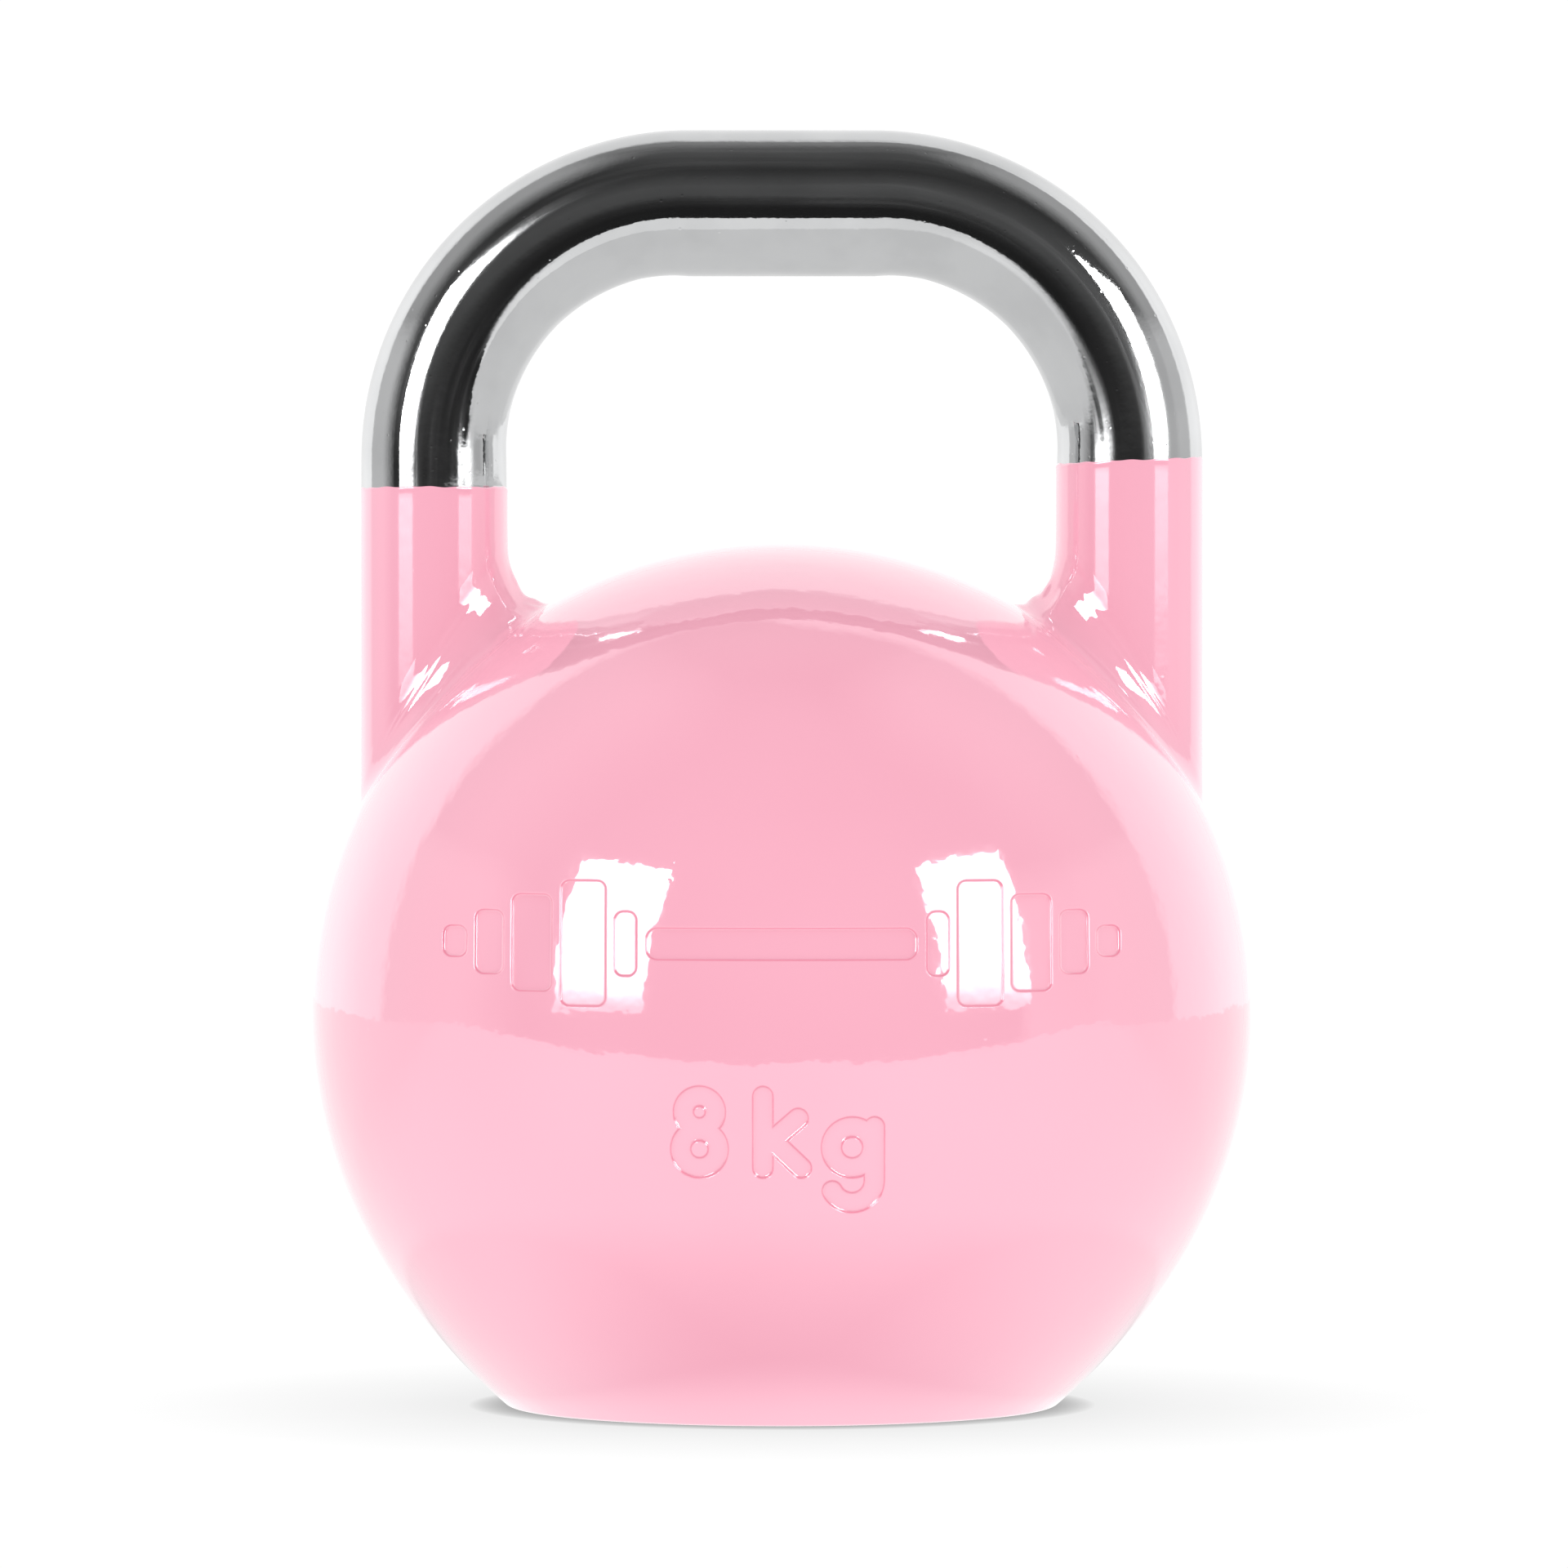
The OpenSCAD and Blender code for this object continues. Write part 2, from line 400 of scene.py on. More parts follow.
def stroke(path):
    """Outline maker for a round-ended stroke along an open path."""
    path = np.array(path)
    ahead = unit(np.gradient(path, axis=0))
    left = np.column_stack([-ahead[:, 1], ahead[:, 0]])

    def outline_at(grow):
        h = STROKE_HALF + grow
        heading = math.atan2(ahead[-1][1], ahead[-1][0])
        end = arc(path[-1], h, heading - math.pi / 2, heading + math.pi / 2, 12)
        heading = math.atan2(ahead[0][1], ahead[0][0])
        start = arc(path[0], h, heading + math.pi / 2, heading + 3 * math.pi / 2, 12)
        right_side = [tuple(p) for p in (path - h * left)[1:-1]]
        left_side = [tuple(p) for p in (path + h * left)[1:-1]][::-1]
        return right_side + end + left_side + start
    return outline_at


def straight(x1, z1, x2, z2):
    """A straight path for a stroke."""
    return [(x1 + (x2 - x1) * t, z1 + (z2 - z1) * t) for t in np.linspace(0, 1, 24)]


def joined(objects):
    """One mesh object from several, none of which touch."""
    verts, faces = [], []
    for obj in objects:
        offset = len(verts)
        verts += [tuple(v.co) for v in obj.data.vertices]
        faces += [tuple(offset + i for i in p.vertices) for p in obj.data.polygons]
        bpy.data.objects.remove(obj)
    return object_from("cutters", verts, faces)


def unioned(objects):
    """One mesh object from several that overlap."""
    first = objects[0]
    for other in objects[1:]:
        boolean(first, other, "UNION")
    return first


def barbell_cutters():
    """A plain barbell, drawn across the ball's front, just above the seam."""
    cutters = [mark_cutter(rounded_bar(0, BARBELL_Z, *BAR_SIZE, BAR_CORNER))]
    for x, width, height in PLATES:
        for side in (-1, 1):
            plate = rounded_bar(side * x * MM, BARBELL_Z, width * MM, height * MM, PLATE_CORNER)
            cutters.append(mark_cutter(plate))
    return joined(cutters)


def eight_cutter():
    """The figure 8: two rings."""
    upper = ring_cutter(EIGHT_X, FIGURE_TOP - STROKE_HALF - EIGHT_SMALL_R, EIGHT_SMALL_R)
    lower = ring_cutter(EIGHT_X, FIGURE_FOOT + STROKE_HALF + EIGHT_LARGE_R, EIGHT_LARGE_R, END_PLANE_STEP)
    return unioned([upper, lower])


def k_cutter():
    """The letter k: a stem, an arm and a leg."""
    foot = FIGURE_FOOT + STROKE_HALF
    knee = FIGURE_FOOT + 7.5 * MM
    strokes = [straight(K_X, foot, K_X, FIGURE_TOP - STROKE_HALF),
               straight(K_X, knee - 1.5 * MM, K_X + 7.5 * MM, knee + 5 * MM),
               straight(K_X + 2.3 * MM, knee, K_X + 8.2 * MM, foot)]
    return unioned([mark_cutter(stroke(path), k * END_PLANE_STEP) for k, path in enumerate(strokes)])


def g_cutter():
    """The letter g: a bowl, and a stem that runs on into the hook."""
    bowl_z = FIGURE_FOOT + G_BOWL_R + STROKE_HALF
    stem_x = G_X + G_BOWL_R + OFF_TANGENT
    hook_z = FIGURE_FOOT - 1.0 * MM
    stem = straight(stem_x, bowl_z + G_BOWL_R, stem_x, hook_z)[:-1]
    hook = arc((G_X, hook_z), stem_x - G_X, 0, -0.85 * math.pi, 30)
    return unioned([ring_cutter(G_X, bowl_z, G_BOWL_R), mark_cutter(stroke(stem + hook), END_PLANE_STEP)])


def sink_mark(shell, cutters):
    """Cuts a mark into a shell, down to a floor that follows the skin."""
    section = arc((0, BALL_Z), BALL_R - MARK_DEPTH, math.pi / 2, -math.pi / 2, 180)
    floor = revolved("mark_floor", [(max(r, 0.0), z) for r, z in section], BALL_STEPS)
    boolean(cutters, floor, "DIFFERENCE")
    boolean(shell, cutters, "DIFFERENCE")


# ---------------- the ball

def finished_shell(shell, paint, node):
    """Gives a half shell its exact normals, its paint and its place in the frame."""
    give_true_normals(smooth(shell), (0.0, MARK_DEPTH, SHELL_WALL))
    # Painted shade along the marks' sloping edges
    paint_edge_shade(shell)
    finished(shell, paint, "pink_paint", node)


def upper_shell(paint):
    """The pressed upper half, with its two leg holes and the barbell mark."""
    outer = arc((0, BALL_Z), BALL_R, math.pi / 2, math.asin(SEAM_HALF / BALL_R), 88)
    inner = arc((0, BALL_Z), SHELL_INNER_R, math.asin(SEAM_ROOT_HALF / SHELL_INNER_R), math.pi / 2, 44)
    outer[0], inner[-1] = (0, outer[0][1]), (0, inner[-1][1])
    shell = revolved("upper_shell_painted", outer + inner, BALL_STEPS)
    for side in (-1, 1):
        hole = revolved("hole", [(0, 0), (LEG_HOLE_R, 0), (LEG_HOLE_R, BALL_R), (0, BALL_R)], 96)
        hole.data.transform(Matrix.Translation((side * LEG_X, 0, BALL_Z)))
        boolean(shell, hole, "DIFFERENCE")
    sink_mark(shell, barbell_cutters())
    finished_shell(shell, paint, "upper_shell")


def lower_shell(paint):
    """The pressed lower half, drawn in to the base, with the weight mark."""
    edge_r, edge_z = base_edge_centre()
    toe_angle = math.atan2(edge_z - HEEL_Z, edge_r - HEEL_X)
    inner_heel = HEEL_R - SHELL_WALL
    outer = arc((0, BALL_Z), BALL_R, -math.asin(SEAM_HALF / BALL_R), -HEEL_ANGLE, 30)
    outer += arc((HEEL_X, HEEL_Z), HEEL_R, -HEEL_ANGLE, toe_angle, 26)[1:]
    outer += arc((edge_r, edge_z), BASE_EDGE_R, toe_angle, -math.pi / 2, 8)[1:]
    foot_angle = -math.asin(HEEL_Z / inner_heel)
    inner = arc((HEEL_X, HEEL_Z), inner_heel, foot_angle, -HEEL_ANGLE, 16)
    root_rise = math.asin(SEAM_ROOT_HALF / SHELL_INNER_R)
    inner += arc((0, BALL_Z), SHELL_INNER_R, -HEEL_ANGLE, -root_rise, 16)[1:]
    shell = revolved("lower_shell_painted", outer + inner, BALL_STEPS)
    sink_mark(shell, joined([eight_cutter(), k_cutter(), g_cutter()]))
    finished_shell(shell, paint, "lower_shell")


def seam_weld(paint):
    """The girth weld, ground flush with the ball under the paint."""
    rise = math.asin(SEAM_HALF / BALL_R)
    outer = arc((0, BALL_Z), BALL_R, rise, -rise, 8)
    low, high = BALL_Z - SEAM_ROOT_HALF, BALL_Z + SEAM_ROOT_HALF
    root = [(SHELL_INNER_R, low), (RING_R, low), (RING_R, high), (SHELL_INNER_R, high)]
    weld = revolved("seam_weld_ground", outer + root, BALL_STEPS)
    give_true_normals(smooth(weld), (0.0,))
    finished(weld, paint, "pink_paint", "seam_weld")


# ---------------- the handle
TUBE_AROUND = 128
# Flattening of the bent tube: degrees round the bend from the grip, and how far the inner
# and outer sides lie nearer the centreline there, in mm
BEND_DEGREES = (0, 5, 15, 45, 75, 90)
INNER_FLAT = (0.0, 0.35, 0.85, 1.15, 0.7, 0.15)
OUTER_FLAT = (0.0, 0.0, 0.05, 0.1, 0.05, 0.0)
SIDE_BULGE = 0.15 * MM
# The length of leg over which the flattening fades out
FLAT_FADE = 18 * MM
ACROSS = np.array([0, 1.0, 0])


def handle_path():
    """Stations from one leg end to the other: centre, direction to the bend's inside, bend degrees."""
    stations = []
    for z in np.linspace(LEG_END_Z, BEND_Z, 40)[:-1]:
        stations.append((np.array([-LEG_X, 0, z]), np.array([1.0, 0, 0]), 90.0))
    for degrees in np.linspace(90, 0, 61):
        a = math.radians(degrees)
        out = np.array([-math.sin(a), 0, math.cos(a)])
        centre = np.array([-GRIP_HALF, 0, BEND_Z]) + BEND_R * out
        stations.append((centre, -out, degrees))
    for x in np.linspace(-GRIP_HALF, 0, 14)[1:]:
        stations.append((np.array([x, 0, GRIP_Z]), np.array([0, 0, -1.0]), 0.0))
    flip = np.array([-1.0, 1, 1])
    mirrored = [(c * flip, i * flip, d) for c, i, d in stations[-2::-1]]
    return stations + mirrored


def tube_radius(z, degrees, c, s):
    """The tube's radius round one station; c and s are the cosine and sine of the angle from inside."""
    share = max(0.0, 1 - (BEND_Z - z) / FLAT_FADE) if degrees >= 90 else 1.0
    inner = share * np.interp(degrees, BEND_DEGREES, INNER_FLAT) * MM
    outer = share * np.interp(degrees, BEND_DEGREES, OUTER_FLAT) * MM
    side = share * math.sin(math.radians(degrees)) * SIDE_BULGE
    return CHROME_R - inner * np.maximum(c, 0) ** 2 - outer * np.minimum(c, 0) ** 2 + side * s ** 2


def handle_tube(chrome):
    """The bent tube, slightly flattened in its bends, with its bore."""
    around = angles_round(TUBE_AROUND)
    c, s = np.cos(around), np.sin(around)
    rings, bore, places = [], [], []
    run = 0.0
    last_centre = None
    for centre, inward, degrees in handle_path():
        if last_centre is not None:
            run += np.linalg.norm(centre - last_centre)
        last_centre = centre
        places.append(np.column_stack([np.full(TUBE_AROUND, run), CHROME_R * c, CHROME_R * s]))
        radius = tube_radius(centre[2], degrees, c, s)
        rings.append(centre + np.outer(radius * c, inward) + np.outer(radius * s, ACROSS))
        hollow = radius - (TUBE_WALL - PAINT_T)
        bore.append(centre + np.outer(hollow * c, inward) + np.outer(hollow * s, ACROSS))
    rows = rings + bore[::-1]
    faces = strip_faces(len(rows), TUBE_AROUND)
    tube = object_from("handle_tube_chromed", np.concatenate(rows), faces)
    # For the chrome: how far along the tube and where round it each point is
    attribute = tube.data.attributes.new("tube_place", "FLOAT_VECTOR", "POINT")
    attribute.data.foreach_set("vector", np.concatenate(places + places[::-1]).ravel())
    finished(smooth(tube), chrome, "handle_chrome", "handle_tube")


# Height of the masked paint line on each leg, and how far it rises towards the outside
PAINT_LINE = {-1: (205.2 * MM, 0.0), 1: (211.2 * MM, 0.8 * MM)}
SLEEVE_AROUND = 192
# The paint's inner face, inside the chrome, and how far its foot reaches into the ball
BURIED_R = CHROME_R - 0.1 * MM
FOOT_SINK = 1.5 * MM
# Radius, and depth below the lip in mm, of each ring over the lip
OVER_LIP = ((BURIED_R, -0.25), (CHROME_R, -0.05), (CHROME_R + 0.08 * MM, 0.0), (TUBE_R + 0.05 * MM, 0.16),
            (TUBE_R + 0.06 * MM, 0.4), (TUBE_R + 0.02 * MM, 0.9), (TUBE_R, 1.6))
INNER_LIP_DROP = 0.6


def round_leg(around, leg_r, ball_r):
    """Points leg_r from the leg's axis and ball_r from the ball's centre, relative to that centre."""
    x = LEG_X + leg_r * np.cos(around)
    y = leg_r * np.sin(around)
    return np.column_stack([x, y, np.sqrt(ball_r ** 2 - x ** 2 - y ** 2)])


def leg_paint(side, name, paint):
    """The paint on one leg: a thin sleeve with a soft, slightly uneven lip at the masked line."""
    around = angles_round(SLEEVE_AROUND)
    c, s = np.cos(around), np.sin(around)
    line, slope = PAINT_LINE[side]
    ragged = 0.12 * MM * np.sin(7 * around + side) * np.sin(3 * around) + 0.08 * MM * np.sin(19 * around)
    lip = line + slope * c + ragged
    foot = BALL_Z + round_leg(around, TUBE_R, BALL_R)[:, 2] - FOOT_SINK
    rings = [(r, lip - drop * MM) for r, drop in OVER_LIP]
    for t in np.linspace(0, 1, 40)[1:]:
        rings.append((TUBE_R, (1 - t) * (lip - OVER_LIP[-1][1] * MM) + t * foot))
    for t in np.linspace(1, 0, 12):
        rings.append((BURIED_R, (1 - t) * (lip - INNER_LIP_DROP * MM) + t * foot))
    verts = np.concatenate([np.column_stack([side * (LEG_X + r * c), r * s, z]) for r, z in rings])
    sleeve = object_from(name, verts, strip_faces(len(rings), SLEEVE_AROUND))
    finished(smooth(sleeve, ROUGH_ANGLE), paint, "pink_paint")


# ---------------- the leg welds
# Radii of the balls whose contact lines bound the fillet on the leg and on the shell
LEG_REACH = 11.5 * MM
BALL_REACH = 7 * MM
WELD_AROUND = 288
WELD_ACROSS = 36
FILLET_FULLNESS = 1.22
# Where the ridges of the weld runs lie across the fillet, from the leg (0) to the ball (1)
RIDGES = (0.18, 0.3, 0.62)
RIDGE_HALF_W = 0.03
RIDGE_HEIGHT = 0.2 * MM
RELIEF_FADE = 0.12
# How far the weld's edges stand over the leg paint and the skin before they run under,
# and the share of the fillet that each lift takes
EDGE_LIFT = 0.04 * MM
LIFT_SHARE = 0.4
# Distance beyond the edge and depth below it, in mm, of the rings that run it under
LEG_FEATHER = ((5.5, 0.12), (3.5, 0.05), (1.5, 0.01), (0.0, 0.0))
BALL_FEATHER = ((0.0, 0.0), (1.5, 0.01), (3.5, 0.05), (5.0, 0.15))
# Depths of the two rings that close the weld below the skin
TOE_SINK = 2.5 * MM
ROOT_SINK = 2 * MM
SPATTER_SEED = 11
SPATTER_DROPS = 16


def from_leg(around):
    """Unit vectors that point out from the leg's axis."""
    return np.column_stack([np.cos(around), np.sin(around), np.zeros(len(around))])


def weld_relief(around, across, side):
    """Height of the weld's ridges, ripples and spatter over the plain fillet."""
    facing = np.abs(np.sin(around)) ** 6
    wander = 0.02 * np.sin(3 * around + side) + 0.012 * np.sin(8 * around)
    relief = np.zeros_like(around)
    for k, ridge in enumerate(RIDGES):
        swell = 0.6 + 0.4 * np.sin(5 * around + 2 * k)
        relief += RIDGE_HEIGHT * facing * swell * np.exp(-((across - ridge - wander) / RIDGE_HALF_W) ** 2)
    dice = np.random.RandomState(SPATTER_SEED + side)
    for _ in range(SPATTER_DROPS):
        a = math.pi + dice.normal(0, 0.45)
        t = dice.uniform(0.35, 0.95)
        size = dice.uniform(0.9, 2.0) * MM
        turn = (around - a + math.pi) % (2 * math.pi) - math.pi
        distance = np.hypot(turn * TUBE_R, (across - t) * LEG_REACH)
        relief += dice.uniform(0.15, 0.35) * size * np.exp(-(distance / size) ** 2)
    return relief * min(across / RELIEF_FADE, 1) * min((1 - across) / RELIEF_FADE, 1)


def rolled(around, radius):
    """Centre of a ball that rolls round between the leg and the shell, and where it touches both."""
    centre = round_leg(around, TUBE_R + radius, BALL_R + radius)
    return centre, centre - radius * from_leg(around), BALL_R * unit(centre)


def eased(share):
    """0 below 0, 1 above 1 and smooth between."""
    s = min(max(share, 0.0), 1.0)
    return s * s * (3 - 2 * s)


def fillet_rings(around, side):
    """Conic arcs from the leg down to the shell, tangent to both, with the weld's relief on them."""
    heel = rolled(around, LEG_REACH)[1]
    centre, _, toe = rolled(around, BALL_REACH)
    # Where the leg's side meets the plane that touches the shell at the toe
    corner = heel.copy()
    slope = toe / toe[:, 2:]
    corner[:, 2] = toe[:, 2] + np.sum((toe - heel)[:, :2] * slope[:, :2], axis=1)
    turn = np.arccos(-unit(toe - corner)[:, 2])
    weight = np.minimum(FILLET_FULLNESS * np.cos(turn / 2), 0.95)[:, None]
    rings = []
    for t in np.linspace(0, 1, WELD_ACROSS + 1):
        a, b, c = (1 - t) ** 2, 2 * weight * t * (1 - t), t ** 2
        plain = (a * heel + b * corner + c * toe) / (a + b + c)
        height = weld_relief(around, t, side)[:, None]
        off_leg = eased(1 - t / LIFT_SHARE) * from_leg(around)
        off_ball = eased((t - 1 + LIFT_SHARE) / LIFT_SHARE) * unit(toe)
        rings.append(plain + height * unit(centre - plain) + EDGE_LIFT * (off_leg + off_ball))
    return rings


def leg_feather(heel, around):
    """Rings that run the weld's edge out over the leg paint and then under it."""
    return [heel - depth * MM * from_leg(around) + (0, 0, rise * MM) for rise, depth in LEG_FEATHER]


def ball_feather(toe, before):
    """Rings that run the weld's edge out over the ball's skin and then under it."""
    onward = unit(toe - before)
    return [(BALL_R + EDGE_LIFT - depth * MM) * unit(toe + run * MM * onward)
            for run, depth in BALL_FEATHER]


def leg_weld(side, name, node, paint):
    """The fillet weld round one leg."""
    around = angles_round(WELD_AROUND)
    rings = fillet_rings(around, side)
    rows = leg_feather(rings[0], around) + rings[1:-1] + ball_feather(rings[-1], rings[-2])
    # Below the skin the weld closes on itself, round the root of the joint
    root = round_leg(around, TUBE_R, BALL_R)
    rows.append((BALL_R - TOE_SINK) * unit(0.5 * (rings[-1] + root)))
    rows.append(root - (0, 0, ROOT_SINK))
    verts = np.concatenate(rows) + CENTRE
    verts[:, 0] *= side
    weld = object_from(name, verts, strip_faces(len(rows), WELD_AROUND))
    finished(smooth(weld, ROUGH_ANGLE), paint, "pink_paint", node)


# ---------------- base, plug and filling
EDGE_BREAK = 0.35 * MM
PLUG_EDGE_BREAK = 0.2 * MM
RING_EDGE_BREAK = 0.5 * MM
SEAL_EDGE_R = 0.6 * MM
# How far the ground base weld stands in from the floor: at its inner edge, its hollow and its ripples,
# and the height below which its face is ground
WELD_INSET = 0.05 * MM
WELD_HOLLOW = 0.12 * MM
WELD_RIPPLE = 0.04 * MM
GROUND_Z = 0.2 * MM
THREAD_PITCH = 1.5 * MM
THREAD_DEPTH = 0.8 * MM
SOCKET_FLARE = 1.5 * MM
SOCKET_POINT = 1.5 * MM
SHOT_SIZE = 2.6 * MM
SHOT_HEIGHT = 0.7
# Rows of shot lie closer than the shot in a row
SHOT_ROW = 0.87 * SHOT_SIZE
SHOT_RISE = 1 * MM
SHOT_EDGE = 0.6 * MM


def seat_r(z, inset=0.0):
    """Inside radius of the heel at height z."""
    return HEEL_X + math.sqrt((HEEL_R - SHELL_WALL - inset) ** 2 - (HEEL_Z - z) ** 2)


def heel_line(z_low, z_high, inset, steps=6):
    """Points up the inside of the heel."""
    return [(seat_r(z, inset), z) for z in np.linspace(z_low, z_high, steps + 1)]


def base_plate(paint):
    """The disc that closes the shell, with its counterbored fill hole."""
    bore_r = FLANGE_R + FIT_GAP
    counterbore_z = PLUG_SINK + FLANGE_T + SEAL_T
    outline = [(bore_r, 0), (seat_r(0) - WELD_FLOOR_W, 0)]
    outline += heel_line(WELD_DEPTH, PLATE_T, FIT_GAP)
    outline += [(FILL_R, PLATE_T), (FILL_R, counterbore_z), (bore_r, counterbore_z)]
    plate = revolved("base_plate_turned", softened(outline, EDGE_BREAK))
    finished(smooth(plate), paint, "pink_paint", "base_plate")


def base_weld(paint):
    """The groove weld round the base plate, ground nearly flush with the floor side."""
    outline = [(seat_r(0) - WELD_FLOOR_W, WELD_INSET)]
    outline += [(seat_r(0) - WELD_FLOOR_W * (1 - t), WELD_HOLLOW * (1 - t) * t) for t in (0.25, 0.5, 0.75)]
    outline += heel_line(0.0, WELD_DEPTH, 0.0)
    weld = revolved("base_weld_ground", outline, 288)
    for vertex in weld.data.vertices:
        turn = math.atan2(vertex.co.y, vertex.co.x)
        if vertex.co.z < GROUND_Z:
            vertex.co.z += WELD_RIPPLE * (1 + math.sin(41 * turn + 3 * math.sin(5 * turn)))
    finished(smooth(weld), paint, "pink_paint", "base_weld")


def fill_plug(steel):
    """The flanged screw plug, with a chamfered hexagon socket and its thread."""
    shaft_r = FILL_R - FIT_GAP
    root_r = shaft_r - THREAD_DEPTH
    z = PLUG_SINK + FLANGE_T
    outline = [(0, PLUG_SINK), (FLANGE_R, PLUG_SINK), (FLANGE_R, z), (root_r, z), (root_r, z + SEAL_T)]
    z += SEAL_T
    while z + THREAD_PITCH < PLUG_TOP - 0.5 * MM:
        outline += [(shaft_r, z + THREAD_PITCH / 2), (root_r, z + THREAD_PITCH)]
        z += THREAD_PITCH
    outline += [(root_r, PLUG_TOP), (0, PLUG_TOP)]
    plug = revolved("fill_plug_threaded", softened(outline, PLUG_EDGE_BREAK, 3), 144)
    below, socket_z = -1 * MM, PLUG_SINK + SOCKET_DEPTH
    hexagon = [(0, below), (SOCKET_R, below), (SOCKET_R, socket_z), (0, socket_z + SOCKET_POINT)]
    cone = [(0, below), (SOCKET_R + SOCKET_FLARE, below), (SOCKET_R - 1 * MM, SOCKET_FLARE),
            (0, SOCKET_FLARE)]
    boolean(plug, revolved("socket", hexagon, 6), "DIFFERENCE")
    boolean(plug, revolved("flare", cone, 96), "DIFFERENCE")
    finished(smooth(plug), steel, "plug_steel", "fill_plug")


def plug_seal(rubber):
    """The rubber ring squeezed under the plug's flange."""
    z = PLUG_SINK + FLANGE_T
    outline = [(FILL_R, z), (SEAL_R, z), (SEAL_R, z + SEAL_T), (FILL_R, z + SEAL_T)]
    seal = revolved("plug_seal_ring", softened(outline, SEAL_EDGE_R, 5), 144)
    finished(smooth(seal, 50), rubber, "seal_rubber", "plug_seal")


def ballast(shot):
    """Iron shot set in resin: a rough block that fills the heel above the plate."""
    resin_z = BALLAST_TOP - SHOT_RISE
    outline = heel_line(PLATE_T, resin_z, FIT_GAP)
    outline += [(r, resin_z) for r in np.linspace(seat_r(BALLAST_TOP) - SHOT_EDGE, BALLAST_WELL_R, 64)]
    outline += [(BALLAST_WELL_R, PLATE_T)]
    block = revolved("ballast_block", outline, 256)
    half = SHOT_SIZE / 2
    for vertex in block.data.vertices:
        if vertex.co.z > resin_z - 0.01 * MM:
            row = round(vertex.co.y / SHOT_ROW)
            shift = half * (row % 2)
            dx = (vertex.co.x - shift + half) % SHOT_SIZE - half
            dy = vertex.co.y - row * SHOT_ROW
            vertex.co.z += SHOT_HEIGHT * math.sqrt(max(0.0, half ** 2 - dx * dx - dy * dy))
    finished(smooth(block, ROUGH_ANGLE), shot, "shot_ballast", "ballast")


def backing_ring(steel):
    """The rolled strip that backs the girth weld."""
    low, high = BALL_Z - RING_HALF, BALL_Z + RING_HALF
    outline = [(RING_R - RING_T, low), (RING_R, low), (RING_R, high), (RING_R - RING_T, high)]
    ring = revolved("backing_ring_rolled", softened(outline, RING_EDGE_BREAK), 256)
    finished(smooth(ring), steel, "bare_steel", "backing_ring")


# ---------------- materials
# Two tones of the pink enamel, and a darker pink painted along the marks' sloping edges as painted shade
PINK_LOW = (0.885, 0.406, 0.516)
PINK_HIGH = (0.897, 0.420, 0.531)
PINK_EDGE_SHADE = (0.83, 0.27, 0.375)


